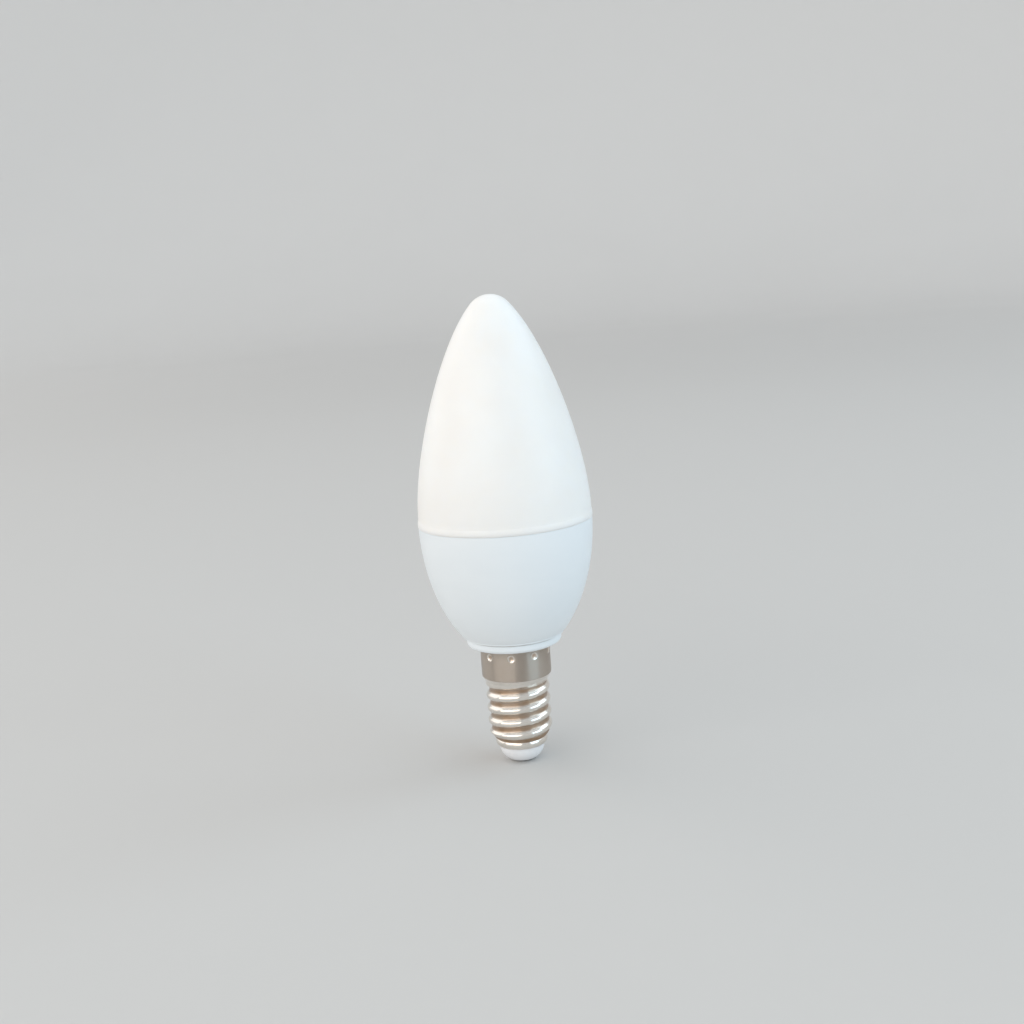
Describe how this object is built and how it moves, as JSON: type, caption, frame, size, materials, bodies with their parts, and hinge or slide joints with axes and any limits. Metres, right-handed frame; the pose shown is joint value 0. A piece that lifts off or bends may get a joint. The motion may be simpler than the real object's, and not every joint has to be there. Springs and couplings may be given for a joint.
{
  "type": "candle bulb",
  "caption": "Candle-shaped lamp with an opal dome, a white tapering housing and a small bright screw cap, for a lamp holder.",
  "frame": {"origin": "on the lamp's axis at the face of the centre contact", "axes": "+Z along the lamp's axis from the contact to the tip; +X and +Y across it, the picture looks along +Y"},
  "size_m": [0.037, 0.037, 0.1006],
  "materials": {
    "opal": "opal white that spreads light, satin",
    "housing_white": "cool white moulded plastic, semi-gloss",
    "plated_cap": "bright nickel plating on drawn and rolled sheet, fine draw marks",
    "insulator_white": "white moulded plastic, matte",
    "contact_metal": "plated rivet head, lightly worn"
  },
  "bodies": {
    "root": {"diffuser": "opal", "housing": "housing_white", "cap_shell": "plated_cap", "cap_insulator": "insulator_white", "centre_contact": "contact_metal"}
  },
  "joints": []
}
